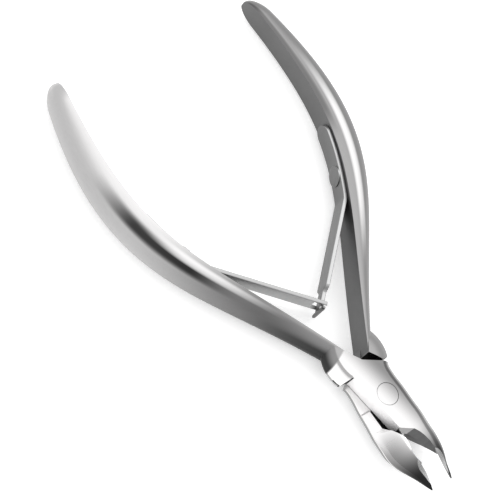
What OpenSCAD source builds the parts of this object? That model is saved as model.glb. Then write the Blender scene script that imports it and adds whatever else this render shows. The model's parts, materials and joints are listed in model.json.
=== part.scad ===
// Cuticle nipper: two crossed halves on one flush rivet, held open by two
// interlocking leaf springs.
//
// Millimetres.  The pivot axis is Z through x = y = 0 and the tool lies flat:
// z = 0 is the back face of the joint and z = joint_t is its front face.
// Handles run to +Y, jaws to -Y.  The modelled pose is fully open.
// front_half is the handle on -X, the front joint plate and the jaw on +X;
// rear_half is the handle on +X, the rear joint plate and the jaw on -X.

/* [Joint] */
// thickness of the joint, back face to front face
joint_t = 7.2; // [6.6:0.1:8]
// half width of the joint at the pivot
joint_w = 5.95; // [5.6:0.05:6.4]
// free space between the two joint plates
lap_gap = 0.1; // [0.06:0.01:0.16]
// pivot rivet head diameter, flush with both faces
rivet_d = 5; // [4.4:0.1:5.6]
// pivot rivet shank diameter
shank_d = 3.6; // [3:0.1:4]
// radial running clearance round the rivet in the rear half
rivet_fit = 0.03; // [0.02:0.01:0.08]

/* [Jaws] */
// distance from the pivot to the jaw tips
jaw_l = 21.5; // [20:0.5:24]
// half of the angle between the open jaws
jaw_half_angle = 7.15; // [6.8:0.05:7.4]
// length of the straight cutting edge
edge_l = 5.1; // [4:0.1:6]
// height of the cutting edge above the joint middle at the tip
tip_rise = 2.75; // [2:0.05:3]
// jaw thickness at the tip
tip_t = 0.7; // [0.5:0.1:1.2]
// slope of the ground face below the cutting edge, from the tool's plane
relief = 45; // [35:1:55]

/* [Handles] */
// distance from the pivot to the handle ends
handle_y = 90; // [84:0.5:96]
// half distance between the inner faces at the handle ends
handle_x = 25.5; // [23:0.5:28]
// bow of the handles in their middle
handle_bow = 30.5; // [28:0.5:33]
// handle width at the root, measured through the thickness of the tool
root_w = 7; // [6.4:0.1:7.1]
// handle width at the end
end_w = 5.4; // [4.6:0.1:6]
// greatest depth control of the handle section
grip_depth = 10.5; // [8.5:0.5:11.5]

/* [Springs] */
// leaf width
leaf_w = 5.4; // [4.8:0.1:6]
// leaf thickness
leaf_t = 0.9; // [0.7:0.05:1]
// width of the neck that passes through the fork
neck_w = 2.2; // [1.8:0.1:2.6]
// width of the cross bar at the end of the right leaf
bar_w = 6; // [5:0.1:6.6]
// spring rivet head diameter
spring_rivet_d = 4.7; // [4:0.1:5]
// spring rivet shank diameter
spring_shank_d = 2.4; // [2:0.1:2.8]

/* [Hidden] */
mid = joint_t / 2;
far = 60;
eps = 0.01;
n_len = 40;                 // steps along a handle
n_sec = 14;                 // steps round the outside of a handle section
tab_from = 14;              // handle step at the bend of a leaf
tab_to = 25;                // handle step at the free end of a tab
head_h = 0.5;               // height of a spring rivet head
rivet_cone = 0.8;           // depth of the pivot rivet's flared heads

// ---------------------------------------------------------------- handle line
p0 = [4.3, 14.2];
p1 = [22.2, 46.5];
p2 = [handle_bow, 51.3];
p3 = [handle_x, handle_y];

function cubic(a, b, c, d, t) =
    pow(1 - t, 3) * a + 3 * pow(1 - t, 2) * t * b + 3 * (1 - t) * t * t * c + pow(t, 3) * d;

function slope(t) =
    3 * pow(1 - t, 2) * (p1 - p0) + 6 * (1 - t) * t * (p2 - p1) + 3 * t * t * (p3 - p2);

function unit(v) = v / norm(v);
function outward(t) = let (s = unit(slope(t))) [s.y, -s.x];
function step_t(i) = i / n_len;
function inner_at(i) = cubic(p0, p1, p2, p3, step_t(i));

// width through the tool and depth away from the flat inner face
function end_round(t) = t < 0.955 ? 1 : sqrt(max(0.0, 1 - pow((t - 0.955) / 0.0455, 2)));
function width_at(t) = cubic(root_w, root_w + 0.4, end_w - 0.3, end_w, t) * (0.12 + 0.88 * end_round(t));
function depth_at(t) = max(0.4, cubic(2.1, 5.8, grip_depth, 3.3, t) * (0.25 + 0.75 * end_round(t)));

// one D section: flat inner face, rounded outside
function section(t) =
    let (w = width_at(t) / 2, h = depth_at(t), c = cubic(p0, p1, p2, p3, t), n = outward(t), e = 2 / 2.3)
    [for (k = [0:n_sec])
        let (a = 90 - 180 * k / n_sec,
             off = h * pow(abs(cos(a)), e),
             up = w * sign(sin(a)) * pow(abs(sin(a)), e))
        [c.x + n.x * off, c.y + n.y * off, mid + up]];

// closed skin over a list of equal sections
module loft(rows) {
    m = len(rows[0]);
    n = len(rows);
    polyhedron(
        points = [for (r = rows) for (p = r) p],
        faces = concat(
            [[for (k = [0:m - 1]) k]],
            [for (i = [0:n - 2]) for (k = [0:m - 1])
                [i * m + k, (i + 1) * m + k, (i + 1) * m + (k + 1) % m]],
            [for (i = [0:n - 2]) for (k = [0:m - 1])
                [i * m + k, (i + 1) * m + (k + 1) % m, i * m + (k + 1) % m]],
            [[for (k = [0:m - 1]) (n - 1) * m + m - 1 - k]]));
}

module right_handle() {
    ts = concat([-0.045, -0.02], [for (i = [0:n_len - 2]) step_t(i)], [0.965, 0.978, 0.99, 1]);
    loft([for (t = ts) section(t)]);
}

// ---------------------------------------------------------------- head
// half width of the head down its length: [y, half width]
head_side = [
    [-jaw_l - 0.6, 2.55], [-jaw_l, 2.86], [-18.15, joint_w - 1.8], [-16.1, joint_w - 0.85],
    [-14.4, joint_w - 0.2], [-12.6, joint_w + 0.25], [-10.9, joint_w + 0.45], [-7.1, joint_w + 0.45],
    [-3.8, joint_w + 0.2], [0, joint_w], [3.3, joint_w - 0.3], [5.5, joint_w - 0.1], [7, joint_w + 0.9],
    [8.4, joint_w + 1.35], [10.1, joint_w + 1.5], [12.3, joint_w + 1.15], [14.6, joint_w + 0.2]];
// back and front faces down the length: [y, z]
head_back = [
    [-jaw_l - 0.6, mid + tip_rise - tip_t + 0.2], [-jaw_l, mid + tip_rise - tip_t], [-18.15, mid - 0.2],
    [-16.1, mid - 1.2], [-14.4, mid - 1.9], [-10.9, 0.2], [-9, 0], [14.6, 0]];
head_front = [
    [-jaw_l - 0.6, mid + tip_rise - 0.2], [-jaw_l, mid + tip_rise], [-19, joint_t - 0.02],
    [-16.4, joint_t + 0.35], [-13, joint_t + 0.1], [-10, joint_t], [14.6, joint_t]];
// how far the rounding reaches in from the sides: [y, reach]
head_crown = [[-jaw_l - 0.6, 2.2], [-jaw_l, 2.3], [-16, 3.5], [-11, 3.7], [-5, 3.4], [14.6, 3.1]];

// rounded bar shared by both halves, widest at mid thickness; the open form
// stays square on -X below the handle root, where a joint plate ends in a wall
module head_form(open) {
    ys = [-jaw_l - 0.6, -jaw_l, -20, -18.5, -17.4, -16.4, -15.5, -14, -12.8, -11.4, -10.2, -9.2, -8, -7, -5.5,
        -3.8, -1.5, 0.8, 3.3, 4.6, 5.2, 5.6, 6.1, 6.5, 7, 8.4, 10.1, 11.2, 12.3, 13.4, 14.6];
    loft([for (y = ys)
        let (x = lookup(y, head_side), a = lookup(y, head_back), b = lookup(y, head_front),
             c = (a + b) / 2, h = (b - a) / 2, r = lookup(y, head_crown),
             s = open ? lookup(y, [[5.2, 1], [6.5, 0]]) : 0,
             xl = x + (12 - x) * s, rl = open ? 1.9 - 1.4 * s : r)
        concat(
            [for (k = [0:8]) let (u = 90 - 22.5 * k) [x - r + r * cos(u), y, c + h * sin(u)]],
            [for (k = [0:8]) let (u = 270 - 22.5 * k) [-xl + rl + rl * cos(u), y, c + h * sin(u)]])]);
}

// cutting edge end points on the closing line of the right jaw
function on_line(r) = [r * sin(jaw_half_angle), -r * cos(jaw_half_angle)];
tip = on_line(jaw_l / cos(jaw_half_angle));
heel = on_line(jaw_l / cos(jaw_half_angle) - edge_l);

// plate, jaw and handle root of the half whose plate lies on the far side
// (handle on the left, jaw on the right), seen from the front
module plate_outline() {
    polygon([
        [-4.9, 14.2], [-2.6, 11.1], [-1, 9.1], [-0.8, 8.75],
        [4.6, 5.85], [far / 6, 4.9],
        [far / 6, -jaw_l], tip, heel,
        [2.15, -15.4], [2.5, -14.4], [2.55, -12.6], [2.15, -11], [1.6, -9.8], [0.97, -8.9],
        [-2, -7.2], [-4.9, 6.4], [-far / 6, 6.7], [-far / 6, 12], [-6.3, 14.3]]);
}

// what the same half keeps in the other half's layer: handle root and jaw
module root_outline() {
    polygon([[-4.9, 14.2], [-2.6, 10.75], [-1.67, 9.46], [-3.95, 6.75], [-far / 6, 7.05], [-far / 6, 12], [-6.3, 14.3]]);
}

module jaw_outline() {
    polygon([
        [3.75, -0.6], [far / 6, -0.6], [far / 6, -jaw_l], tip, heel,
        [2.15, -15.4], [2.5, -14.4], [2.55, -12.6], [2.15, -11], [2.05, -9.6], [2.7, -8.4], [4.05, -6.55]]);
}

// sloping scoop that takes the jaw's outer rim down to the joint plate
module rim_scoop() {
    translate([0, 0, mid])
        rotate([90, 0, 90])
            linear_extrude(far / 2)
                polygon([[0.4, -0.2], [-5.4, 0.9], [-7, mid + 0.05], [-7, 2 * mid], [8, 2 * mid], [8, -0.2]]);
}

// everything under a plane through one spot; n is the plane's upward normal
module under_plane(spot, n) {
    translate(spot)
        rotate([0, acos(n.z / norm(n)), atan2(n.y, n.x)])
            translate([-15, -15, -20])
                cube([30, 30, 20]);
}

// hollow and ground face under the cutting edge of the jaw
module jaw_grind() {
    k = tan(relief);
    intersection() {
        under_plane([2.5, -12.2, mid - 0.4], [1, 1.05, 1]);
        under_plane([heel.x, heel.y, joint_t + 0.15], [k, -(joint_t + 0.1 - mid - tip_rise + 0.1) / edge_l, 1]);
        translate([-1, -jaw_l - 1.5, -2])
            cube([13, jaw_l - 7.9, 14]);
    }
}

// one half, handle on -X and jaw on +X; its plate fills the front layer when
// front is true and the back layer otherwise
module half(front) {
    lower = [-1, mid + lap_gap / 2 + eps];
    upper = [mid - lap_gap / 2 - eps, 2 * mid];
    plate = front ? [mid + lap_gap / 2, 2 * mid] : [-1, mid - lap_gap / 2];
    rest = front ? lower : upper;
    difference() {
        union() {
            intersection() {
                head_form(true);
                slab(plate)
                    plate_outline();
            }
            intersection() {
                head_form(false);
                union() {
                    slab(rest)
                        root_outline();
                    difference() {
                        slab(rest)
                            jaw_outline();
                        if (front)
                            mirror_back()
                                rim_scoop();
                        else
                            rim_scoop();
                    }
                }
            }
            mirror([1, 0, 0])
                right_handle();
        }
        jaw_grind();
    }
}

module slab(range) {
    translate([0, 0, range[0]])
        linear_extrude(range[1] - range[0])
            children();
}

// turn something over about the middle of the joint thickness
module mirror_back() {
    translate([0, 0, mid])
        mirror([0, 0, 1])
            translate([0, 0, -mid])
                children();
}

// flared pivot rivet profile; grow adds clearance round it
module rivet_form(grow) {
    rotate_extrude()
        polygon([
            [0, 0], [rivet_d / 2 + grow, 0], [rivet_d / 2 + grow, 0.25], [shank_d / 2 + grow, rivet_cone + 0.25],
            [shank_d / 2 + grow, joint_t - rivet_cone - 0.25], [rivet_d / 2 + grow, joint_t - 0.25],
            [rivet_d / 2 + grow, joint_t], [0, joint_t]]);
}

// ---------------------------------------------------------------- springs
bend = inner_at(tab_from);
seat = (inner_at(17) + inner_at(18)) / 2;
seat_out = outward((17.5) / n_len);
// centre line of the flexing bend, half a leaf thickness off the handle face
hinge = bend - outward(step_t(tab_from)) * (leaf_t / 2 + 0.02);
// where the two leaves cross, on the middle plane
cross_y = hinge.y - 17.6;
cross_pt = [0, cross_y];
blade_l = norm(hinge - cross_pt);
blade_dir = unit(cross_pt - hinge);
blade_turn = atan2(blade_dir.y, blade_dir.x);

module right_tab() {
    difference() {
        translate([0, 0, mid])
            rotate([0, 0, 0])
                linear_extrude(leaf_w, center = true)
                    polygon(concat(
                        [for (i = [tab_from:tab_to]) inner_at(i) - outward(step_t(i)) * 0.02],
                        [for (i = [tab_to:-1:tab_from]) inner_at(i) - outward(step_t(i)) * (leaf_t + 0.02)]));
        // room for the round root of the blade
        translate([hinge.x, hinge.y, -1])
            cylinder(h = joint_t + 2, r = leaf_t / 2 + 0.06, $fn = 48);
        spring_shank(0);
        // rounded free end
        tab_end_cut();
    }
}

// trims the free end of a tab to a round
module tab_end_cut() {
    e = inner_at(tab_to);
    a = slope(step_t(tab_to));
    r = leaf_w / 2 + 0.4;
    translate([e.x, e.y, mid])
        rotate([0, 0, atan2(a.y, a.x)])
            rotate([90, 0, 0])
                difference() {
                    translate([-leaf_w / 2, -leaf_w, -5])
                        cube([leaf_w, leaf_w * 2, 10]);
                    translate([-r - 0.05, 0, -6])
                        cylinder(h = 12, r = r, $fn = 64);
                }
}

module spring_shank(grow) {
    translate([seat.x, seat.y, mid])
        rotate([0, 90, atan2(seat_out.y, seat_out.x)])
            translate([0, 0, -leaf_t - 0.3])
                cylinder(h = leaf_t + 2.7, d = spring_shank_d + 2 * grow, $fn = 48);
}

module right_spring_head() {
    translate([seat.x, seat.y, mid])
        rotate([0, 90, atan2(seat_out.y, seat_out.x)])
            translate([0, 0, -leaf_t - 0.04 - head_h])
                cylinder(h = head_h, d = spring_rivet_d, $fn = 64);
}

// blade from its round root to length l, lying along +X from the hinge
module blade_strip(l, w) {
    translate([0, 0, mid - w / 2])
        linear_extrude(w) {
            circle(d = leaf_t, $fn = 48);
            translate([0, -leaf_t / 2])
                square([l, leaf_t]);
        }
}

module place_blade() {
    translate([hinge.x, hinge.y, 0])
        rotate([0, 0, blade_turn])
            children();
}

// ---------------------------------------------------------------- sub-parts
module front_half() {
    color([0.83, 0.83, 0.84])
        difference() {
            half(true);
            rivet_form(0);
            mirror([1, 0, 0])
                spring_shank(0);
        }
}

module rear_half() {
    color([0.74, 0.74, 0.76])
        difference() {
            mirror([1, 0, 0])
                half(false);
            rivet_form(rivet_fit);
            spring_shank(0);
        }
}

module pivot_rivet() {
    color([0.9, 0.9, 0.9])
        rivet_form(0);
}

module right_leaf_tab() {
    color([0.62, 0.63, 0.65])
        right_tab();
}

module left_leaf_tab() {
    color([0.62, 0.63, 0.65])
        mirror([1, 0, 0])
            right_tab();
}

module right_spring_rivet() {
    color([0.7, 0.7, 0.72]) {
        spring_shank(0);
        right_spring_head();
    }
}

module left_spring_rivet() {
    color([0.7, 0.7, 0.72])
        mirror([1, 0, 0]) {
            spring_shank(0);
            right_spring_head();
        }
}

// right leaf: broad blade, narrow neck, cross bar beyond the fork
module right_leaf_blade() {
    color([0.66, 0.67, 0.69])
        place_blade() {
            blade_strip(blade_l - 1.3, leaf_w);
            blade_strip(blade_l + 1.5, neck_w);
            translate([blade_l + 1.5, 0, mid - bar_w / 2])
                cylinder(h = bar_w, d = 1, $fn = 32);
        }
}

// left leaf: broad rounded blade with a fork round the neck
module left_leaf_blade() {
    color([0.66, 0.67, 0.69])
        mirror([1, 0, 0])
            place_blade()
                difference() {
                    union() {
                        blade_strip(blade_l - 1, leaf_w);
                        translate([blade_l - 1, leaf_t / 2, mid])
                            rotate([90, 0, 0])
                                cylinder(h = leaf_t, d = leaf_w, $fn = 64);
                    }
                    translate([blade_l - 1.1, -5, mid - neck_w / 2 - 0.3])
                        cube([10, 10, neck_w + 0.6]);
                }
}

front_half();
rear_half();
pivot_rivet();
left_leaf_tab();
left_leaf_blade();
left_spring_rivet();
right_leaf_tab();
right_leaf_blade();
right_spring_rivet();
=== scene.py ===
# %% [markdown]
# # A cuticle nipper, from lofted surfaces to polished steel
#
# The tool lies flat with its pivot at the origin: handles run to +Y, jaws to -Y, and the
# front face looks up. This lesson builds its skin round a CAD frame that already knows
# where every part sits and how it moves.

# %% Load the frame
import json
import math

import bpy
import numpy as np
from mathutils import Matrix, Vector

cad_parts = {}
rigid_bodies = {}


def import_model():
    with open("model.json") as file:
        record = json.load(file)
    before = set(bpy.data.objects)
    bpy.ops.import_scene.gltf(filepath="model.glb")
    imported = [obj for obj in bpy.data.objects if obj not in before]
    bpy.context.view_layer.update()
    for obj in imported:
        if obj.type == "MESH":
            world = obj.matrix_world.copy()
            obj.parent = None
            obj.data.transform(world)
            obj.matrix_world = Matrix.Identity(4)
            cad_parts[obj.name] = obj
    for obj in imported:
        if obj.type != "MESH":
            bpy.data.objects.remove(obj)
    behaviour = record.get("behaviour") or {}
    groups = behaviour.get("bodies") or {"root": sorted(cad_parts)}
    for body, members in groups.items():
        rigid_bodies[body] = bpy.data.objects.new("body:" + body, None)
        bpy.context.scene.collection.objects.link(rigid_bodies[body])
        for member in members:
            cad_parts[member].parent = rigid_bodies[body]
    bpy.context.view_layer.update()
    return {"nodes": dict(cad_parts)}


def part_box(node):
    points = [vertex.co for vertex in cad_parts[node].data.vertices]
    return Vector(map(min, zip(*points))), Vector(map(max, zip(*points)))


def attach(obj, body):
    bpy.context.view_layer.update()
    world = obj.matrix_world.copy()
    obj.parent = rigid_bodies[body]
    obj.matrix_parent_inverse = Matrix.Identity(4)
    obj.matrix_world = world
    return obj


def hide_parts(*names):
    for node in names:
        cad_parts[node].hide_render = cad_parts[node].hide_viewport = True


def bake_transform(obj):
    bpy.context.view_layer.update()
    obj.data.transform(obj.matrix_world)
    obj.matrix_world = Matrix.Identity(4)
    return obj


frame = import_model()
MM = 0.001
for name in frame["nodes"]:
    low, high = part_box(name)
    print(name, [round((high[i] - low[i]) / MM, 1) for i in range(3)], "mm")

# %% [markdown]
# ## The camera
#
# A long lens stands about half a metre away, above the left handle, and looks down on the
# tool at about 56 degrees. Its axes are written out as three directions, because
# a camera's matrix is just its right, up and back axes and its place. It comes first, so
# that every later piece can be looked at from the right place.

# %% Place the camera
def place_camera(at_mm, right, up, back, lens):
    """Camera matrix whose columns are its right, up and back axes and its place."""
    data = bpy.data.cameras.new("camera")
    data.lens = lens
    data.sensor_width = 36
    data.clip_start = 0.01
    data.clip_end = 10
    obj = bpy.data.objects.new("camera", data)
    bpy.context.scene.collection.objects.link(obj)
    rows = [[right[i], up[i], back[i], at_mm[i] * MM] for i in range(3)]
    obj.matrix_world = Matrix(rows + [[0, 0, 0, 1]])
    bpy.context.scene.camera = obj
    print("camera", [round(v) for v in at_mm], "mm, lens", lens)


place_camera(
    at_mm=(-249.7, -26.4, 383.4),
    right=(0.7535, -0.5311, 0.3875),
    up=(0.3859, 0.8345, 0.3933),
    back=(-0.5323, -0.1468, 0.8338),
    lens=157.7,
)

# %% [markdown]
# ## Helpers for surfaces
#
# Every new piece is a grid of points: rows run along the piece and columns run round it.
# One helper turns such a grid into a closed mesh, one joins meshes, and one does exact
# Booleans. The maths of each shape stays in its own short function.

# %% Mesh from a grid
def grid_faces(n, m):
    """Quads between neighbouring rows and columns; columns wrap round."""
    i, k = np.meshgrid(np.arange(n - 1), np.arange(m), indexing="ij")
    j = (k + 1) % m
    return np.stack([i * m + k, i * m + j, (i + 1) * m + j, (i + 1) * m + k], -1).reshape(-1, 4)


def signed_volume(points, quads, caps):
    """Sum of the tetrahedra from the middle of the points to every triangle, end caps included."""
    p = points - points.mean(axis=0)
    fans = [(c[0], c[i], c[i + 1]) for c in caps for i in range(1, len(c) - 1)]
    triangles = np.concatenate([quads[:, [0, 1, 2]], quads[:, [0, 2, 3]], np.array(fans)])
    a, b, c = (p[triangles[:, i]] for i in range(3))
    return np.einsum("ij,ij->i", a, np.cross(b, c)).sum() / 6


def loft(name, rows, uv=None):
    """Closed skin over rows[n, m, 3] in millimetres, with a flat cap on each end row."""
    n, m = rows.shape[:2]
    points = rows.reshape(-1, 3)
    quads = grid_faces(n, m)
    caps = [list(range(m))[::-1], list(range((n - 1) * m, n * m))]
    if signed_volume(points, quads, caps) < 0:
        quads = quads[:, ::-1]
        caps = [c[::-1] for c in caps]
    mesh = bpy.data.meshes.new(name)
    mesh.from_pydata((points * MM).tolist(), [], quads.tolist() + caps)
    mesh.update()
    if uv is not None:
        layer = mesh.uv_layers.new(name="along")
        index = np.empty(len(mesh.loops), dtype=np.int32)
        mesh.loops.foreach_get("vertex_index", index)
        layer.data.foreach_set("uv", uv.reshape(-1, 2)[index].astype(np.float32).ravel())
    obj = bpy.data.objects.new(name, mesh)
    bpy.context.scene.collection.objects.link(obj)
    return obj


def prism(name, outline, low, high):
    """Closed straight extrusion of a plan outline between two heights, millimetres."""
    flat = np.asarray(outline, float)
    low_row = np.column_stack([flat, np.full(len(flat), low)])
    high_row = np.column_stack([flat, np.full(len(flat), high)])
    return loft(name, np.stack([low_row, high_row]))


def boolean(target, tool, operation):
    """Exact Boolean of two closed meshes; the tool is used up."""
    step = target.modifiers.new("cut", "BOOLEAN")
    step.operation = operation
    step.solver = "EXACT"
    step.object = tool
    view = bpy.context.evaluated_depsgraph_get()
    mesh = bpy.data.meshes.new_from_object(target.evaluated_get(view))
    target.modifiers.clear()
    old = target.data
    target.data = mesh
    bpy.data.meshes.remove(old)
    bpy.data.objects.remove(tool)
    return target


def join(name, parts):
    """One object from several, with everything already in place."""
    for obj in bpy.context.view_layer.objects:
        obj.select_set(False)
    for obj in parts:
        obj.select_set(True)
    bpy.context.view_layer.objects.active = parts[0]
    bpy.ops.object.join()
    parts[0].name = name
    parts[0].data.name = name
    return parts[0]


def soften(obj, degrees):
    """Smooth shading, kept crisp across edges steeper than the given angle."""
    obj.data.polygons.foreach_set("use_smooth", np.ones(len(obj.data.polygons), bool))
    obj.data.set_sharp_from_angle(angle=math.radians(degrees))
    print(obj.name, len(obj.data.polygons), "faces")
    return obj


print("mesh helpers ready")

# %% [markdown]
# ## Helpers for curves
#
# A shape is drawn from a few design points. A flow is a smooth line through its knots, a
# Bezier curve is pulled by its middle points, and a rounded outline is a plan with an arc
# at each corner.

# %% Smooth curves through a few design points
def flow(at, knots, values):
    """Cubic Hermite through the knots, with the slope at each taken from its neighbours."""
    knots = np.asarray(knots, float)
    values = np.asarray(values, float)
    step = np.diff(values) / np.diff(knots)
    slope = np.concatenate([[step[0]], (step[:-1] + step[1:]) / 2, [step[-1]]])
    flat = np.concatenate([[False], step[:-1] * step[1:] <= 0, [False]])
    slope[flat] = 0
    k = np.clip(np.searchsorted(knots, at, side="right") - 1, 0, len(knots) - 2)
    h = knots[k + 1] - knots[k]
    t = (at - knots[k]) / h
    return ((1 + 2 * t) * (1 - t) ** 2 * values[k] + t * (1 - t) ** 2 * h * slope[k]
            + t * t * (3 - 2 * t) * values[k + 1] + t * t * (t - 1) * h * slope[k + 1])


def bezier(t, a, b, c, d):
    """Cubic Bezier of numbers or of points."""
    t = np.asarray(t)[..., None] if np.ndim(a) else np.asarray(t)
    a, b, c, d = (np.asarray(v, float) for v in (a, b, c, d))
    return (1 - t) ** 3 * a + 3 * (1 - t) ** 2 * t * b + 3 * (1 - t) * t * t * c + t ** 3 * d


def rounded(corners):
    """Plan outline with each corner (x, y, radius) turned into a short arc of that radius."""
    out = []
    count = len(corners)
    for i in range(count):
        x, y, r = corners[i]
        here = np.array([x, y], float)
        before = np.array(corners[i - 1][:2], float) - here
        after = np.array(corners[(i + 1) % count][:2], float) - here
        la, lb = np.linalg.norm(before), np.linalg.norm(after)
        ua, ub = before / la, after / lb
        half = math.acos(np.clip(ua @ ub, -1, 1)) / 2
        reach = min(r / math.tan(half), 0.48 * la, 0.48 * lb) if r > 0 and half < 1.55 else 0
        if reach <= 0:
            out.append(here)
            continue
        t = np.linspace(0, 1, 7)[:, None]
        a, b = here + ua * reach, here + ub * reach
        out.extend((1 - t) ** 2 * a + 2 * (1 - t) * t * here + t * t * b)
    return np.array(out)


print("curve helpers ready")

# %% [markdown]
# ## The handles
#
# Each handle is forged with a D section: the inner face is flat and the outside is round.
# The flat face follows one curve in plan, and the section swells to its deepest in the
# palm and tapers to a rounded end. A profile carried along that curve gives the whole
# handle as one smooth grid, and the left handle is the same grid with x reversed.

# %% Work out the handle grid
JOINT_T = 7.2
MID = JOINT_T / 2
LINE = [(4.3, 14.2), (22.2, 46.5), (30.5, 51.3), (25.5, 90.0)]
T_START, T_SPLIT = -0.045, 0.93
ROUND_POINTS, FLAT_POINTS = 72, 10
SQUARENESS = 2 / 2.3


def handle_line(t):
    """Inner face in plan, its direction, and the direction that points outwards."""
    t = np.asarray(t, float)
    a, b, c, d = (np.array(p) for p in LINE)
    place = bezier(t, a, b, c, d)
    s = t[..., None]
    slope = 3 * (1 - s) ** 2 * (b - a) + 6 * (1 - s) * s * (c - b) + 3 * s * s * (d - c)
    slope /= np.linalg.norm(slope, axis=-1, keepdims=True)
    return place, slope, np.stack([slope[..., 1], -slope[..., 0]], -1)


def handle_grid(n=260):
    """Section at t: depth h cos(a)^(2/2.3) away from the flat face, height w sin(a)^(2/2.3)."""
    closing = 0.9303 + 0.0697 * np.sin(np.linspace(0.02, math.pi / 2, 40))
    t = np.concatenate([np.linspace(T_START, T_SPLIT, n), closing])
    end = np.sqrt(np.clip(1 - (np.clip(t - 0.955, 0, None) / 0.0455) ** 2, 0, 1))
    width = bezier(t, 7.0, 7.4, 5.1, 5.4) * (0.12 + 0.88 * end)
    depth = np.maximum(bezier(t, 2.1, 5.8, 10.5, 3.3) * (0.25 + 0.75 * end), 0.4)
    place, _, out = handle_line(t)
    a = np.linspace(math.pi / 2, -math.pi / 2, ROUND_POINTS)
    away = np.concatenate([np.abs(np.cos(a)) ** SQUARENESS, np.zeros(FLAT_POINTS)])
    up = np.sign(np.sin(a)) * np.abs(np.sin(a)) ** SQUARENESS
    up = np.concatenate([up, np.linspace(-1, 1, FLAT_POINTS + 2)[1:-1]])
    xy = place[:, None, :] + out[:, None, :] * (depth[:, None] * away)[..., None]
    z = MID + (width / 2)[:, None] * up
    rows = np.concatenate([xy, np.broadcast_to(z, xy.shape[:2])[..., None]], -1)
    turn = np.linspace(0, 1, rows.shape[1])
    uv = np.stack(np.broadcast_arrays(t[:, None], turn[None, :]), -1)
    return rows, uv


rows = handle_grid()[0]
print("handle grid", rows.shape, "length", round(float(np.ptp(rows[..., 1])), 1), "mm")

# %% [markdown]
# ## The head
#
# Joint plates and jaws come out of one rounded bar, widest at the middle of its thickness,
# that narrows and lifts towards the jaw tips. Cutting the bar with plan outlines leaves the
# plate of one half, its jaw and the root of its handle, with true crisp shoulders where the
# halves meet. Exact Booleans suit this, because the real pieces are also milled from a
# forging.

# %% Rounded bar of the head
BAR_Y = (-22.1, 14.6)
SIDE = ([-22.1, -21.5, -18.15, -16.1, -14.4, -12.6, -10.9, -7.1, -3.8, 0, 3.3, 5.5, 7, 8.4, 10.1, 12.3, 14.6],
        [2.4, 2.86, 4.15, 5.1, 5.75, 6.2, 6.4, 6.4, 6.15, 5.95, 5.65, 5.85, 6.85, 7.3, 7.45, 7.1, 6.15])
BACK = ([-22.1, -21.5, -18.15, -16.1, -14.4, -10.9, -9, 14.6], [5.85, 5.65, 3.4, 2.4, 1.7, 0.2, 0, 0])
FRONT = ([-22.1, -21.5, -19, -16.4, -13, -10, 14.6], [6.15, 6.35, 7.18, 7.55, 7.3, 7.2, 7.2])
SQUARE_X = 12


def head_bar(name, crown, open_side=False, n=190, corner=26):
    """Sections in XZ: flat front and back joined by half ellipses of the given reach at the sides.

    With open_side the -X side turns square below the handle root, so that a plate cut from
    the bar keeps its full thickness there."""
    y = np.concatenate([np.linspace(BAR_Y[0], -14, 70), np.linspace(-13.9, BAR_Y[1], n - 70)])
    side = flow(y, *SIDE)
    back = flow(y, *BACK)
    front = flow(y, *FRONT)
    middle, half = (front + back) / 2, (front - back) / 2
    reach = np.minimum(crown(y), side * 0.9)
    square = np.clip((6.5 - y) / 1.3, 0, 1) * open_side
    left = side + (SQUARE_X - side) * square
    left_reach = (np.minimum(1.9, reach) if open_side else reach) * (1 - square) + 0.5 * square
    a = np.linspace(math.pi / 2, -math.pi / 2, corner)
    x = np.concatenate([(side - reach)[:, None] + reach[:, None] * np.cos(a),
                        -(left - left_reach)[:, None] - left_reach[:, None] * np.cos(a)[::-1]], 1)
    z = middle[:, None] + half[:, None] * np.concatenate([np.sin(a), np.sin(a)[::-1]])
    rows = np.stack([x, np.broadcast_to(y[:, None], x.shape), z], -1)
    return loft(name, rows)


def plate_crown(y):
    """Reach of the rounding at the sides of a joint plate, growing into the jaw."""
    return flow(y, [-22, -16, -11, -5, 6, 14.6], [3.0, 3.6, 3.8, 3.4, 3.4, 3.0])


def root_crown(y):
    """Reach at the handle root and at the back of the jaw: nearly a full D."""
    return flow(y, [-22, -16, -11, -5, 6, 14.6], [3.0, 3.9, 4.4, 4.2, 5.2, 5.6])


print("head bar", round(BAR_Y[1] - BAR_Y[0], 1), "mm long and", 2 * max(SIDE[1]), "mm wide")

# %% [markdown]
# ## Outlines of the head
#
# Three plan outlines cut the bar. The plate and the jaw share the straight cutting edge and
# the hollow of the mouth behind it. The edge runs from heel to tip on a line through the
# pivot, half the opening angle off the middle. A corner is a spot and its rounding radius.

# %% Plan outlines of plate, root and jaw
JAW_L, EDGE_L = 21.5, 5.1
CLOSE = math.radians(7.15)
TIP = (JAW_L * math.tan(CLOSE), -JAW_L)
HEEL = (TIP[0] - EDGE_L * math.sin(CLOSE), TIP[1] + EDGE_L * math.cos(CLOSE))
HOLLOW = [(2.15, -15.4, 0.5), (2.5, -14.4, 1.0), (2.55, -12.6, 1.5), (2.15, -11, 1.0)]

EDGE = [(10, -JAW_L, 0), (*TIP, 0), (*HEEL, 0.15), *HOLLOW]

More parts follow.
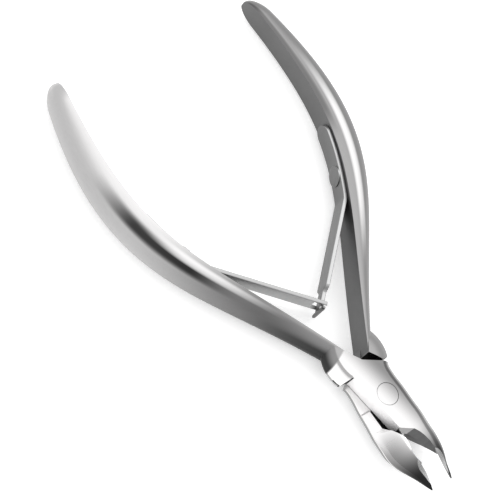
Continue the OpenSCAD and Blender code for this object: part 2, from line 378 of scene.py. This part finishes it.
PLATE = rounded([(-4.9, 14.2, 0), (-2.6, 11.1, 0.8), (-1, 9.1, 0.3), (-0.8, 8.75, 0.3), (4.6, 5.85, 0.3),
                 (10, 4.9, 0), *EDGE, (1.6, -9.8, 0.6), (0.97, -8.9, 0.5), (-2, -7.2, 0.35), (-4.9, 6.4, 0.2),
                 (-10, 6.7, 0), (-10, 12, 0), (-6.3, 14.3, 0)])
ROOT = rounded([(-4.9, 14.2, 0), (-2.6, 10.75, 0.5), (-1.67, 9.46, 0.25), (-3.95, 6.75, 0.35), (-10, 7.05, 0),
                (-10, 12, 0), (-6.3, 14.3, 0)])
JAW = rounded([(3.75, -0.6, 0), (10, -0.6, 0), *EDGE, (2.05, -9.6, 0.6), (2.7, -8.4, 0.8),
               (4.05, -6.55, 0.4)])
print("tip and heel of the edge", [round(v, 2) for v in (*TIP, *HEEL)])

# %% [markdown]
# ## Grinding the jaws
#
# A jaw is ground from three sides. Two tilted planes undercut it from below, which leaves a
# thin edge, and a third one takes a flat off its front beside the edge. Each plane is the
# face of a large block that is subtracted.

# %% Ground planes
def below_plane(name, spot, slope_x, slope_y, drop=12.0, reach=16.0):
    """Block of everything under a tilted plane that passes through one spot."""
    x, y, z = spot
    corners = np.array([[-reach, -reach], [reach, -reach], [reach, reach], [-reach, reach]])
    top = z + corners @ np.array([slope_x, slope_y])
    flat = corners + np.array([x, y])
    upper = np.column_stack([flat, top])
    lower = np.column_stack([flat, np.full(4, z - drop - 2 * reach)])
    return loft(name, np.stack([lower, upper]))


def grind_jaw(jaw):
    """Takes away what lies under two tilted planes, which leaves a thin edge over a sloping inner face."""
    rise = (7.3 - 6.25) / EDGE_L
    cut = below_plane("hollow_plane", (2.5, -12.2, 3.2), -1.0, -1.05)
    boolean(cut, below_plane("edge_plane", (*HEEL, 7.35), -1.0, rise), "INTERSECT")
    limit = prism("limit", [(-1, -23), (12, -23), (12, -9.4), (-1, -9.4)], -2, 12)
    boolean(cut, limit, "INTERSECT")
    return boolean(jaw, cut, "DIFFERENCE")


FACET_AT = np.array([*HEEL, 7.1])


def facet_normal():
    """Unit normal of the plane through the heel, the tip and a spot further back on the jaw."""
    a = FACET_AT
    n = np.cross(np.array([*TIP, 6.3]) - a, np.array([4.8, -15.4, 7.2]) - a)
    return n / np.linalg.norm(n)


FACET = facet_normal()


def facet(jaw):
    """Flat ground on the front of the jaw beside the cutting edge: a plane through heel, tip and back."""
    corners = np.array([[-8, -9], [9, -9], [9, 5], [-8, 5]], float)
    z = FACET_AT[2] - corners @ FACET[:2] / FACET[2]
    flat = corners + FACET_AT[:2]
    block = loft("facet", np.stack([np.column_stack([flat, z]), np.column_stack([flat, z + 8])]))
    return boolean(jaw, block, "DIFFERENCE")


print("facet looks along", FACET.round(2).tolist())

# %% [markdown]
# ## Cutting the two heads
#
# A head has two layers that meet in the middle of the joint. The front head keeps its plate
# in the upper layer, and its root and jaw reach down into the lower one. The rear head is
# the other way up. Both are cut the same way round in plan, and the rear one is mirrored.

# %% Cut the heads
RIVET_R = 2.5
LAP = 0.05


def head(name, front):
    """Plate cut from one bar in its own layer; root and jaw cut from a rounder bar in the other."""
    above, below = MID + LAP, MID - LAP
    own, other = (((above, 9), (-1, MID + 0.06)) if front else ((-1, below), (MID - 0.06, 9)))
    plate = boolean(head_bar(name, plate_crown, True), prism("plate", PLATE, *own), "INTERSECT")
    jaw = prism("jaw", JAW, *other)
    beyond = 16.0
    scoop = np.array([[0.4, MID - 0.2], [-5.4, MID + 0.9], [-7.0, JOINT_T + 0.05], [-7.0, beyond],
                      [8, beyond], [8, MID - 0.2]])
    if front:
        scoop[:, 1] = JOINT_T - scoop[:, 1]
    rows = np.stack([np.column_stack([np.full(len(scoop), x), scoop]) for x in (0.0, 30.0)])
    boolean(jaw, loft("scoop", rows), "DIFFERENCE")
    boolean(jaw, prism("root", ROOT, *other), "UNION")
    boolean(jaw, head_bar("round_bar", root_crown), "INTERSECT")
    boolean(plate, jaw, "UNION")
    grind_jaw(plate)
    facet(plate)
    a = np.linspace(0, 2 * math.pi, 97)[:-1]
    hole = np.column_stack([np.cos(a), np.sin(a)]) * RIVET_R
    boolean(plate, prism("rivet_hole", hole, -2, 10), "DIFFERENCE")
    return plate


front_head = head("front_head", True)
rear_head = head("rear_head", False)
rear_head.data.transform(Matrix.Diagonal((-1, 1, 1, 1)))
rear_head.data.flip_normals()
print("heads", len(front_head.data.polygons), len(rear_head.data.polygons))

# %% [markdown]
# ## Handle and head in one piece
#
# The handle's grid carries its own coordinates, along and round, for the finish. The head
# gets one fixed spot at the very start of the handle, so its satin matches the handle's
# where the two meet.

# %% Join each handle to its head
HEAD_MARK = (T_START, 0.2)


def half(name, head_obj, mirror):
    """Handle shell and head shell in one piece."""
    rows, uv = handle_grid()
    mark = head_obj.data.uv_layers.new(name="along")
    mark.data.foreach_set("uv", np.tile(HEAD_MARK, len(head_obj.data.loops)).astype(np.float32))
    if mirror:
        rows = rows * np.array([-1, 1, 1])
    shell = loft(name + "_handle", rows, uv)
    piece = join(name, [shell, head_obj])
    return soften(piece, 28)


front_piece = half("front_forging", front_head, True)
rear_piece = half("rear_forging", rear_head, False)
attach(front_piece, "front")
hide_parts("front_half")
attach(rear_piece, "rear")
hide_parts("rear_half")

# %% [markdown]
# ## Leaf springs
#
# Each leaf is one strip of steel. A short tab lies flat on the handle, the strip turns at a
# soft bend, and the blade reaches across to meet the other leaf. The strip is a flat ribbon
# carried along a bent line: one function gives its half width at each place, so the same
# code makes the round ended blade and the one that narrows to a neck.

# %% Line of a leaf
LEAF_T, LEAF_W = 0.9, 5.4
TAB_FROM, TAB_TO = 0.35, 0.625
SEAT_GAP = 0.02
CROSS_Y = 17.6
PAST_CROSS = 1.5


def leaf_line(n_tab=46, n_blade=120):
    """Middle line of the right leaf in plan: tab on the handle, bend, then a straight blade."""
    t = np.linspace(TAB_TO, TAB_FROM, n_tab)
    place, _, out = handle_line(t)
    tab = place - out * (LEAF_T / 2 + SEAT_GAP)
    hinge = tab[-1]
    cross = np.array([0.0, hinge[1] - CROSS_Y])
    reach = np.linalg.norm(cross - hinge)
    step = (cross - hinge) / reach
    blade = hinge + step * np.linspace(0, reach + PAST_CROSS, n_blade)[1:, None]
    line = np.concatenate([tab, blade])
    for _ in range(5):
        near = np.linalg.norm(line[1:-1] - hinge, axis=1) < 1.1
        line[1:-1][near] = (0.25 * line[:-2] + 0.5 * line[1:-1] + 0.25 * line[2:])[near]
    return line, hinge, step, reach


line, hinge, step, reach = leaf_line()
along = np.concatenate([[0], np.cumsum(np.linalg.norm(np.diff(line, axis=0), axis=1))])
at_hinge = along[-1] - reach - PAST_CROSS
print("leaf", round(float(along[-1]), 1), "mm long, bend at", hinge.round(2).tolist())
print("blade", round(float(reach), 1), "mm from the bend to the crossing")

# %% [markdown]
# ## The two strips
#
# Both leaves start from the same line and differ only in their width. The right one narrows
# to a neck that passes through a slot in the left one, and ends in a round cross bar.

# %% Strip carried along the line
def strip(name, s, half_width, edge=0.14, corner=5):
    """Ribbon of thickness LEAF_T: its section is a flat rectangle with small quarter round edges."""
    s = np.asarray(s)
    x = np.interp(s, along, line[:, 0])
    y = np.interp(s, along, line[:, 1])
    tangent = np.stack([np.gradient(x, s), np.gradient(y, s)], -1)
    tangent /= np.linalg.norm(tangent, axis=1, keepdims=True)
    normal = np.stack([-tangent[:, 1], tangent[:, 0]], -1)
    w = np.maximum(half_width, edge + 0.01)
    a = np.linspace(0, math.pi / 2, corner)
    across, through = [], []
    for sw, st, turn in ((1, 1, a), (1, -1, a[::-1]), (-1, -1, a), (-1, 1, a[::-1])):
        across.append(sw * ((w - edge)[:, None] + edge * np.sin(turn)[None, :]))
        depth = st * (LEAF_T / 2 - edge + edge * np.cos(turn))
        through.append(np.broadcast_to(depth[None, :], (len(s), corner)))
    across, through = np.concatenate(across, 1), np.concatenate(through, 1)
    xy = np.stack([x, y], -1)[:, None, :] + normal[:, None, :] * through[..., None]
    rows = np.concatenate([xy, (MID + across)[..., None]], -1)
    return loft(name, rows)


def end_round(distance, radius):
    """Half width of a round end of that radius, at a distance from the very end."""
    d = np.clip(distance, 0, radius)
    return np.sqrt(np.clip(radius ** 2 - (radius - d) ** 2, 0, None))


def tab_width(s, half):
    """The tab is narrower than the blade, which it meets near the bend, and its free end is round."""
    grow = np.clip((s - at_hinge + 5) / 5, 0, 1)
    full = half + (LEAF_W / 2 - half) * grow * grow * (3 - 2 * grow)
    return np.minimum(full, end_round(s + 0.02, half))


RIGHT_TAB, LEFT_TAB, NECK = 2.35, 1.8, 1.1
crossing = along[-1] - PAST_CROSS
tab_start = np.linspace(0, 1, 24) ** 2 * 2.4
blade_end = np.linspace(crossing - 5.1, crossing + 1.4, 80)
s = np.concatenate([tab_start, np.linspace(2.5, crossing - 5.2, 150), blade_end])
neck = np.clip((s - (crossing - 4.2)) / 1.5, 0, 1)
neck = neck * neck * (3 - 2 * neck)
right_leaf = strip("right_leaf", s, tab_width(s, RIGHT_TAB) * (1 - neck) + NECK * neck)

closing = crossing - 0.6 + 1.9 * np.sin(np.linspace(0.04, math.pi / 2, 30))
s = np.concatenate([tab_start, np.linspace(2.5, crossing - 0.6, 170), closing])
fork_end = end_round((crossing + 1.32 - s) * 1.42, LEAF_W / 2)
left_leaf = strip("left_leaf", s, np.minimum(tab_width(s, LEFT_TAB), fork_end))
print("strips", len(right_leaf.data.polygons), len(left_leaf.data.polygons), "faces")

# %% [markdown]
# ## The hook
#
# The cross bar lies behind the left leaf and is wider than the slot, so the two leaves hold
# each other while the handles move.

# %% Cross bar and fork
BAR_L, BAR_R, BAR_PAST = 6.0, 0.44, 1.6
SLOT = np.array([[-1.9, -1.5], [6, -1.5], [6, 1.5], [-1.9, 1.5]])


def bar(name, centre, length, radius, n=30, m=24):
    """Round bar along Z with softly domed ends: radius times a superellipse of the height."""
    u = np.sin(np.linspace(-math.pi / 2, math.pi / 2, n))
    r = radius * (1 - np.abs(u) ** 8) ** 0.5
    r = np.maximum(r, 0.02)
    a = np.linspace(0, 2 * math.pi, m, endpoint=False)
    x = centre[0] + r[:, None] * np.cos(a)
    y = centre[1] + r[:, None] * np.sin(a)
    return loft(name, np.stack(np.broadcast_arrays(x, y, MID + (length / 2) * u[:, None]), -1))


def fork_slot():
    """Cutter for the fork: a straight slot as wide as the neck and a little more."""
    side = np.array([-step[1], step[0]])
    rows = []
    for through in (-3.0, 3.0):
        spots = hinge + step * (reach + SLOT[:, :1]) + side * through
        rows.append(np.column_stack([spots, MID + SLOT[:, 1]]))
    return loft("slot", np.stack(rows))


cross_bar = bar("bar", hinge + step * (reach + BAR_PAST), BAR_L, BAR_R)
right_leaf = join("right_leaf", [right_leaf, cross_bar])
before = len(left_leaf.data.polygons)
boolean(left_leaf, fork_slot(), "DIFFERENCE")
print("left leaf faces before and after the slot", before, len(left_leaf.data.polygons))
left_leaf.data.transform(Matrix.Diagonal((-1, 1, 1, 1)))
left_leaf.data.flip_normals()
soften(right_leaf, 35)
soften(left_leaf, 35)

# %% [markdown]
# ## The springs in place
#
# Each leaf stays as it was built, and the frame's tab and blade pieces are hidden. The ends of a short
# stretch at the bend are worked out, but the strip is not bound to the bodies and does not flex.

# %% Put the springs in place
BEND_RUN = 0.9


def bend(piece, nodes, mirror):
    """Bakes the piece's placement into its mesh and hides the frame's tab and blade; the ends of the stretch
    at the bend are worked out but not used.
    """
    x = np.array([-1.0 if mirror else 1.0, 1.0])
    start = np.append((hinge - step * BEND_RUN) * x, MID) * MM
    finish = np.append((hinge + step * BEND_RUN) * x, MID) * MM
    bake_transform(piece)
    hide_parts(*nodes)
    print(piece.name, "bends over", 2 * BEND_RUN, "mm")


bend(right_leaf, ("right_leaf_tab", "right_leaf_blade"), False)
bend(left_leaf, ("left_leaf_tab", "left_leaf_blade"), True)

# %% [markdown]
# ## Rivets
#
# A rivet is a turned shape: a profile of radius against height, swept round its own axis.
# The pivot rivet is ground flush with the plates, so only a fine seam shows. The spring
# rivets have low domed heads, and so their profile is a dome on a short side.

# %% Turned rivets
def turned(name, profile, at, axis, n=96):
    """Profile points (radius, height) swept round an axis through a spot, millimetres."""
    profile = np.asarray(profile, float)
    axis = np.asarray(axis, float) / np.linalg.norm(axis)
    aside = np.cross(axis, (0, 0, 1) if abs(axis[2]) < 0.9 else (1, 0, 0))
    aside /= np.linalg.norm(aside)
    third = np.cross(axis, aside)
    a = np.linspace(0, 2 * math.pi, n, endpoint=False)
    ring = np.cos(a)[:, None] * aside + np.sin(a)[:, None] * third
    rows = np.asarray(at) + profile[:, 0, None, None] * ring[None] + profile[:, 1, None, None] * axis
    return soften(loft(name, rows), 40)


def flush_profile(r=RIVET_R - 0.06, rim=0.06):
    """Flat ends with a fine chamfer, a whisker below the faces of the plates."""
    low, high = 0.004, JOINT_T - 0.004
    return [(0.02, low), (r - rim, low), (r, low + rim), (r, high - rim), (r - rim, high), (0.02, high)]


def domed_profile(radius, rise, below=-0.25, n=16):
    """Low dome: height falls as 1 - (r/R)^4 and turns down into a short straight side."""
    r = np.linspace(0.02, 1, n)
    dome = [(radius * v, rise * (0.45 + 0.55 * (1 - v ** 4))) for v in r]
    return [(0.02, below), (radius, below)] + dome[::-1]


pivot = turned("pivot_rivet_turned", flush_profile(), (0, 0, 0), (0, 0, 1))
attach(pivot, "front")
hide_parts("pivot_rivet")

# %% [markdown]
# ## Spring rivets
#
# Each spring rivet sits on its tab and looks towards the middle of the tool. Its seat is the
# middle of one of the forty straight steps that the frame makes of the handle's curve.

# %% Domed rivets on the tabs
STEPS, SEAT_STEP = 40, 17
seat = (handle_line(SEAT_STEP / STEPS)[0] + handle_line((SEAT_STEP + 1) / STEPS)[0]) / 2
seat_out = handle_line((SEAT_STEP + 0.5) / STEPS)[2]
on_tab = seat - seat_out * (LEAF_T + 0.03)
spring_rivets = []
for name, body, sign, radius, rise in (("right_spring_rivet", "rear", 1, 2.33, 0.5),
                                       ("left_spring_rivet", "front", -1, 1.85, 0.25)):
    spot = np.array([on_tab[0] * sign, on_tab[1], MID])
    axis = (-seat_out[0] * sign, -seat_out[1], 0)
    head_obj = turned(name + "_turned", domed_profile(radius, rise), spot, axis, 64)
    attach(head_obj, body)
    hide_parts(name)
    spring_rivets.append(head_obj)

# %% [markdown]
# ## Shader maths as plain sums
#
# A shader graph is easier to read as a formula. A small class wraps a node's output and
# turns +, -, * and / into Math nodes, so a mask can be written as 1 - mask. Every other
# node comes from one method that takes its type, its settings and its inputs.

# %% A wire that can be added and multiplied
class Wire:
    """An output socket; sums with numbers or wires add Math nodes to the same material."""

    def __init__(self, paint, socket):
        self.paint = paint
        self.socket = socket

    def math(self, operation, *values):
        return self.paint.node("ShaderNodeMath", {"operation": operation}, dict(enumerate(values)))

    def __add__(self, other):
        return self.math("ADD", self, other)

    def __radd__(self, other):
        return self.math("ADD", other, self)

    def __sub__(self, other):
        return self.math("SUBTRACT", self, other)

    def __rsub__(self, other):
        return self.math("SUBTRACT", other, self)

    def __mul__(self, other):
        return self.math("MULTIPLY", self, other)

    def __rmul__(self, other):
        return self.math("MULTIPLY", other, self)

    def __truediv__(self, other):
        return self.math("DIVIDE", self, other)

    def ramp(self, low, high):
        """0 below low, 1 above high and a smooth step between."""
        return self.paint.node("ShaderNodeMapRange", {"interpolation_type": "SMOOTHSTEP", "clamp": True},
                               {"Value": self, "From Min": low, "From Max": high})


print("wires ready")

# %% [markdown]
# ## A material with a short way to add nodes
#
# One method adds any node, with its settings, its constants and the wires that come into
# it. The others are short names for what every finish needs.

# %% A material and its nodes
class Paint:
    """A material and its Principled shader."""

    def __init__(self, name, metallic=1.0, **constants):
        self.material = bpy.data.materials.new(name)
        self.material.use_nodes = True
        self.tree = self.material.node_tree
        self.shader = self.tree.nodes["Principled BSDF"]
        self.shader.inputs["Metallic"].default_value = metallic
        for socket, value in constants.items():
            self.shader.inputs[socket.replace("_", " ")].default_value = value

    def node(self, kind, settings=None, inputs=None, output=0):
        """Adds a node: settings first, then values or wires into its sockets."""
        made = self.tree.nodes.new(kind)
        for key, value in (settings or {}).items():
            setattr(made, key, value)
        for key, value in (inputs or {}).items():
            if isinstance(value, Wire):
                self.tree.links.new(value.socket, made.inputs[key])
            else:
                made.inputs[key].default_value = value
        return Wire(self, made.outputs[output])

    def place(self):
        """Object coordinates in millimetres, as three wires and the vector."""
        spot = self.node("ShaderNodeTexCoord", output="Object")
        vector = self.node("ShaderNodeVectorMath", {"operation": "SCALE"}, {0: spot, "Scale": 1000.0})
        return self.split(vector) + [vector]

    def split(self, vector):
        """The three parts of a vector as wires."""
        parts = self.tree.nodes.new("ShaderNodeSeparateXYZ")
        self.tree.links.new(vector.socket, parts.inputs[0])
        return [Wire(self, part) for part in parts.outputs]

    def facing(self):
        """The way the surface looks, in the object's own axes, as three wires."""
        return self.split(self.node("ShaderNodeTexCoord", output="Normal"))

    def greater(self, a, b):
        return self.node("ShaderNodeMath", {"operation": "MAXIMUM"}, {0: a, 1: b})

    def stretch(self, vector, x, y, z):
        """A vector multiplied along each axis, to draw a pattern out."""
        return self.node("ShaderNodeVectorMath", {"operation": "MULTIPLY"}, {0: vector, 1: (x, y, z)})

    def noise(self, vector, scale, detail=3.0, rough=0.5):
        inputs = {"Vector": vector, "Scale": scale, "Detail": detail, "Roughness": rough}
        return self.node("ShaderNodeTexNoise", {}, inputs)

    def bump(self, height, strength, distance):
        inputs = {"Strength": strength, "Distance": distance, "Height": height}
        self.feed("Normal", self.node("ShaderNodeBump", {}, inputs))

    def colour(self, red, green, blue):
        self.feed("Base Color", self.node("ShaderNodeCombineColor", {}, {0: red, 1: green, 2: blue}))

    def feed(self, socket, wire):
        self.tree.links.new(wire.socket, self.shader.inputs[socket])


print("shader helpers ready")

# %% [markdown]
# ## Steel finishes
#
# The forging has several finishes. The handles are satin, with fine brushing along their length;
# their grey is painted light, with a painted highlight along the front edge and a painted shade
# in a long band beside it. The head is mirror polished, and its greys are painted reflection and shade.
# The flat inner faces are blasted and painted a deeper grey as shade; the deep recesses are painted nearly
# black as shade.

# %% Satin and polished steel
ROUND_TURN = 180 * (ROUND_POINTS + FLAT_POINTS - 1) / (ROUND_POINTS - 1)
# Grey of the painted highlight streak along a handle.
PAINTED_HIGHLIGHT_GREY = 0.68


def window(value, rise_from, rise_to, fall_from, fall_to):
    """1 between rise_to and fall_from, easing to 0 outside."""
    return value.ramp(rise_from, rise_to) * (1 - value.ramp(fall_from, fall_to))


def mix(under, over, mask):
    """over where the mask is 1 and under where it is 0."""
    return under * (1 - mask) + over * mask


def satin_grey(p, z, grain, tone, painted_highlight, painted_shade, root_tone):
    """Grey of the handle with its painted light and shade, from its own coordinates along (t) and round
    (turn).

    tone is (grey at the root, grey at the end, where the end grey is reached), a painted light gradient along
    the handle; bright is a painted highlight band and dark a painted shade band, each (angle round the
    section, width, start, full, fade, gone, strength).
    root_tone is the grey low and high on the root, a painted shade that is darker low down."""
    t, turn, _ = p.split(p.node("ShaderNodeUVMap", {"uv_map": "along"}))
    angle = 90.0 - turn * ROUND_TURN

    def band(where, width, start, full, fade, gone, strength):
        away = (angle - where) / width
        return (1 - (away * away).ramp(0.0, 1.0)) * window(t, start, full, fade, gone) * strength

    # Painted light: a grey gradient from the root to the end of the handle.
    at_root, at_end, reached = tone
    along_it = t.ramp(-0.05, reached)
    growth = along_it.math("POWER", along_it, 1.5)
    value = (growth * (at_end - at_root) + at_root) * (0.88 + 0.24 * grain)
    # Painted highlight and painted shade: bands round the section that start and fade along the handle.
    painted_highlight_mask = band(*painted_highlight)
    value = value * (1 - band(*painted_shade)) * (1 - painted_highlight_mask) + painted_highlight_mask * PAINTED_HIGHLIGHT_GREY
    # Painted shade on the root: darker low down, lighter high up.
    low, high = root_tone
    return mix(value, z.ramp(4.8, 7.1) * (high - low) + low, 1 - t.ramp(0.0, 0.22))


def mirror_grey(p, side, x, y, z, plate, jaw_painted_shade):
    """Grey of the polished head with its painted light and shade, and the masks of its painted pale walls and
    of the step between the layers.

    plate is the grey at the left and right side, a painted reflection, and jaw_painted_shade (from y, to y,
    power) is a painted shade that darkens it towards the tip. Walls of the upper layer that look away from
    the half's own jaw are painted pale as light, and so are the start of the rear jaw and a painted highlight
    rim along the right of the front half.
    The step is the joint's middle plane where it shows beside the plate, painted a light grey. Between the
    jaws it is the floor of the gap, the wedge, painted nearly black as shadow."""
    sideways = p.facing()[0]
    upper = window(z, 3.62, 3.66, 9.0, 10.0)
    # Painted light: walls of the upper layer that look away from the half's own jaw are made pale.
    pale = (sideways * -side).ramp(0.5, 0.8) * upper * (1 - (x * side).ramp(0.0, 1.0))
    # Painted highlight: a rim along the right of the front half.
    rim = 0.0
    if side > 0:
        rim = (sideways * side).ramp(0.3, 0.85) * z.ramp(3.7, 4.2) * 0.3
    else:
        # Painted light: the start of the rear jaw is made pale too.
        pale = p.greater(pale, window(y, -11.5, -4.5, -0.4, 2.2) * z.ramp(3.64, 3.7))
    # Painted light: the step between the layers gets a light grey.
    step_mask = window(z, 3.3, 3.4, 3.6, 3.64) * (1 - y.ramp(5.0, 6.0))
    # Painted shade: the jaw darkens towards its tip.
    fade_from, fade_to, power = jaw_painted_shade
    fade = y.ramp(fade_from, fade_to)
    jaw = fade.math("POWER", fade, power) * 0.97 + 0.03
    # Painted reflection: the plate runs from one grey on the left to another on the right.
    left, right = plate
    value = mix(left + (right - left) * (x * side + y * 0.27).ramp(-2.5, 4.0), 0.95, pale) + rim
    value = mix(value * jaw, 0.85, step_mask)
    # Painted shadow: the floor of the gap between the jaws is made nearly black.
    wedge = step_mask * (1 - y.ramp(-1.3, -0.7)) * (1 - (x * side).ramp(3.9, 4.2))
    return mix(value, 0.01, wedge), pale, step_mask


def satin_mask(p, side, x, y, z):
    """1 on the handle and 0 on the head, with a slanting line between them."""
    lean, start = (0.49, 13.6) if side > 0 else (1.0, 15.1)
    mask = (y - x * side * lean).ramp(start, start + 0.5)
    if side > 0:
        return mask
    return p.greater(mask, z.ramp(3.4, 3.7) * y.ramp(6.2, 6.4))


def forged_steel(name, side, tone, painted_highlight, painted_shade, root_tone, plate, jaw_painted_shade):
    """Satin on the handle and mirror on the head; side is 1 for the front half and -1 for the rear."""
    p = Paint(name)
    x, y, z, vector = p.place()
    grain = p.noise(p.stretch(vector, 9.0, 0.5, 9.0), 1.0, 4.0, 0.6)
    cloud = p.noise(vector, 0.12, 2.0)
    satin = satin_mask(p, side, x, y, z)
    mirror_value, pale, step_mask = mirror_grey(p, side, x, y, z, plate, jaw_painted_shade)
    value = mix(mirror_value, satin_grey(p, z, grain, tone, painted_highlight, painted_shade, root_tone), satin)
    p.colour(value * 1.01, value, value)
    p.feed("Roughness", satin * (0.18 + 0.08 * grain + 0.05 * cloud) + 0.14 + pale * 0.35 + step_mask * 0.3)
    p.feed("Metallic", 1 - 0.75 * pale)
    p.bump(grain * satin, 0.15, 0.00003)
    return p.material


def blasted_steel(name, tone, rough, edge=None):
    """Even dull grey with a fine pitted grain; edge is the grey of faces that look forwards, painted light
    that sets them apart.
    """
    p = Paint(name)
    vector = p.place()[3]
    pits = p.noise(vector, 14.0, 3.0, 0.7)
    cloud = p.noise(vector, 0.2, 2.0)
    value = (0.85 + 0.15 * cloud + 0.15 * pits) * tone
    if edge is not None:
        # Painted light: faces that look forwards take the edge grey.
        value = mix(value, edge, p.facing()[2].ramp(0.45, 0.8))
    p.colour(value, value, value)
    p.feed("Roughness", rough + 0.1 * pits)
    p.bump(pits, 0.2, 0.00002)
    return p.material


def ground_steel(name):
    """Ground facet beside the cutting edge, with painted light: pale at the tip, greyer towards the heel."""
    p = Paint(name)
    _, y, _, vector = p.place()
    lines = p.noise(p.stretch(vector, 3.0, 22.0, 3.0), 1.0, 2.0)
    # Painted light: the facet is paler at the tip and greyer towards the heel.
    value = 0.2 + 0.4 * (1 - y.ramp(-20.5, -15.5)) + 0.06 * lines
    p.colour(value, value, value)
    p.feed("Roughness", 0.22 + 0.1 * lines)
    return p.material


print("finishes ready")

# %% [markdown]
# ## The finishes of this tool
#
# Both forgings use the same recipe with their own greys, which are painted light and shade. The streaks along
# a handle are
# painted highlight and painted shade: bands round its section, which start and fade along its length.

# %% Mix the finishes
facet_steel = ground_steel("ground_facet")
# The inner flats are blasted, with a real pitted grain; their deeper grey is painted shade.
flat_steel = blasted_steel("blasted_flat_painted_shade", 0.155, 0.42)
# Painted shade: the recesses of the joint are made nearly black.
painted_shade_steel = blasted_steel("painted_shade_recess", 0.012, 0.45)
# The two spring strips are one steel in two greys: the left leaf's paler copy is painted light, and the
# forward-looking faces of both are painted light too.
spring_steel = blasted_steel("spring_strip", 0.17, 0.34, 0.42)
painted_light_spring_steel = blasted_steel("spring_strip_painted_light", 0.42, 0.34, 0.34)
# The greys, bands and fades below are painted light and shade.
front_steel = forged_steel("front_forged", 1, tone=(0.08, 0.5, 0.62),
                           painted_highlight=(74, 11, 0.08, 0.34, 0.4, 0.6, 0.75),
                           painted_shade=(60, 18, 0.2, 0.4, 0.6, 0.8, 0.92),
                           root_tone=(0.02, 0.27), plate=(0.43, 0.125), jaw_painted_shade=(-17.5, -8.0, 1.5))
rear_steel = forged_steel("rear_forged", -1, tone=(0.24, 0.22, 0.8),
                          painted_highlight=(64, 12, 0.12, 0.35, 0.62, 0.9, 0.9),
                          painted_shade=(88, 10, 0.55, 0.68, 0.97, 1.1, 0.5),
                          root_tone=(0.22, 0.25), plate=(0.8, 0.3), jaw_painted_shade=(-19.0, -9.5, 1.8))
print("materials", len(bpy.data.materials))

# %% [markdown]
# ## Dressing the pieces
#
# A forging wears four finishes. Every face is sorted by where it is and which way it looks:
# flat inner faces in blasted grey with painted shade, recesses painted nearly black as shade, the ground
# facet beside the edge, and all the rest.

# %% Give every piece its finish
HANDLE_Y = 9.6


def dress(piece, material, side):
    """Faces sorted by where they are and which way they look; flats get the blasted grey with painted shade
    and recesses get painted shade.
    """
    mesh = piece.data
    mesh.materials.clear()
    for m in (material, flat_steel, painted_shade_steel, facet_steel):
        mesh.materials.append(m)
    n = len(mesh.polygons)
    centre = np.empty(n * 3, np.float32)
    normal = np.empty(n * 3, np.float32)
    mesh.polygons.foreach_get("center", centre)
    mesh.polygons.foreach_get("normal", normal)
    c = centre.reshape(-1, 3) / MM
    v = normal.reshape(-1, 3)
    x, y = c[:, 0] * side, c[:, 1]
    nx, ny, nz = v[:, 0] * side, v[:, 1], v[:, 2]
    index = np.zeros(n, np.int32)
    wall = np.abs(nz) < 0.05
    inner_face = (y > HANDLE_Y) & (nx > 0.6)
    shoulder = (y < HANDLE_Y) & (y > 5.5) & (ny < -0.2)
    gap = (y < -0.5) & (y > -9.5) & (x > 2.0) & (x < 4.6) & ((nx < -0.2) | (ny > 0.5))
    mouth = (y < -8.5) & (x > 0.5) & (x < 3.2) & (nx < -0.3)
    ground = (y < -14.2) & (v @ (FACET * np.array([side, 1, 1])) > 0.9995)
    flat, painted_shade, facet_finish = 1, 2, 3
    # The inner flats take the blasted steel, whose deeper grey is painted shade.
    index[wall & inner_face] = flat
    # Painted shade: shoulder and gap walls take a near-black grey.
    index[wall & (shoulder | gap)] = painted_shade
    # Painted shade: walls of the mouth take the deeper blasted grey.
    index[wall & mouth] = flat
    index[ground] = facet_finish
    mesh.polygons.foreach_set("material_index", index)
    print(piece.name, "faces by finish", np.bincount(index, minlength=4).tolist())


dress(front_piece, front_steel, 1)
dress(rear_piece, rear_steel, -1)
for piece in (right_leaf, *spring_rivets):
    piece.data.materials.append(spring_steel)
# The left leaf takes the paler copy, which is painted light.
left_leaf.data.materials.append(painted_light_spring_steel)
pivot.data.materials.append(front_steel)

# %% [markdown]
# ## Studio
#
# A pale table, a soft light above and an even pale room. The light's size and its radiance
# are chosen, and its power follows from them.

# %% Table and lights
def floor():
    """A plain square table top just under the lowest face."""
    s, z = 1.5, -0.00002
    mesh = bpy.data.meshes.new("table")
    mesh.from_pydata([(-s, -s, z), (s, -s, z), (s, s, z), (-s, s, z)], [], [(0, 1, 2, 3)])
    obj = bpy.data.objects.new("table", mesh)
    bpy.context.scene.collection.objects.link(obj)
    paint = Paint("table_paint", 0.0, Base_Color=(0.86, 0.86, 0.86, 1), Roughness=0.9,
                  Emission_Color=(1, 1, 1, 1), Emission_Strength=0.4)
    mesh.materials.append(paint.material)


def softbox(name, towards, distance, size, radiance):
    """Square area light that faces the tool; its power follows from the radiance wanted."""
    data = bpy.data.lights.new(name, "AREA")
    data.shape = "SQUARE"
    data.size = size
    data.energy = radiance * math.pi * size * size
    obj = bpy.data.objects.new(name, data)
    aim = Vector((0, 0.03, 0))
    obj.location = aim + Vector(towards).normalized() * distance
    obj.rotation_euler = (aim - obj.location).to_track_quat("-Z", "Y").to_euler()
    bpy.context.scene.collection.objects.link(obj)
    print(name, "light", size, "m wide, power", round(data.energy, 2), "W")


floor()
softbox("key", (0.58, 0.16, 0.80), 1.0, 0.7, 1.4)
world = bpy.data.worlds.new("room")
world.use_nodes = True
world.node_tree.nodes["Background"].inputs["Color"].default_value = (0.9, 0.9, 0.9, 1)
world.node_tree.nodes["Background"].inputs["Strength"].default_value = 1.15
bpy.context.scene.world = world
bpy.context.scene.view_settings.view_transform = "Standard"
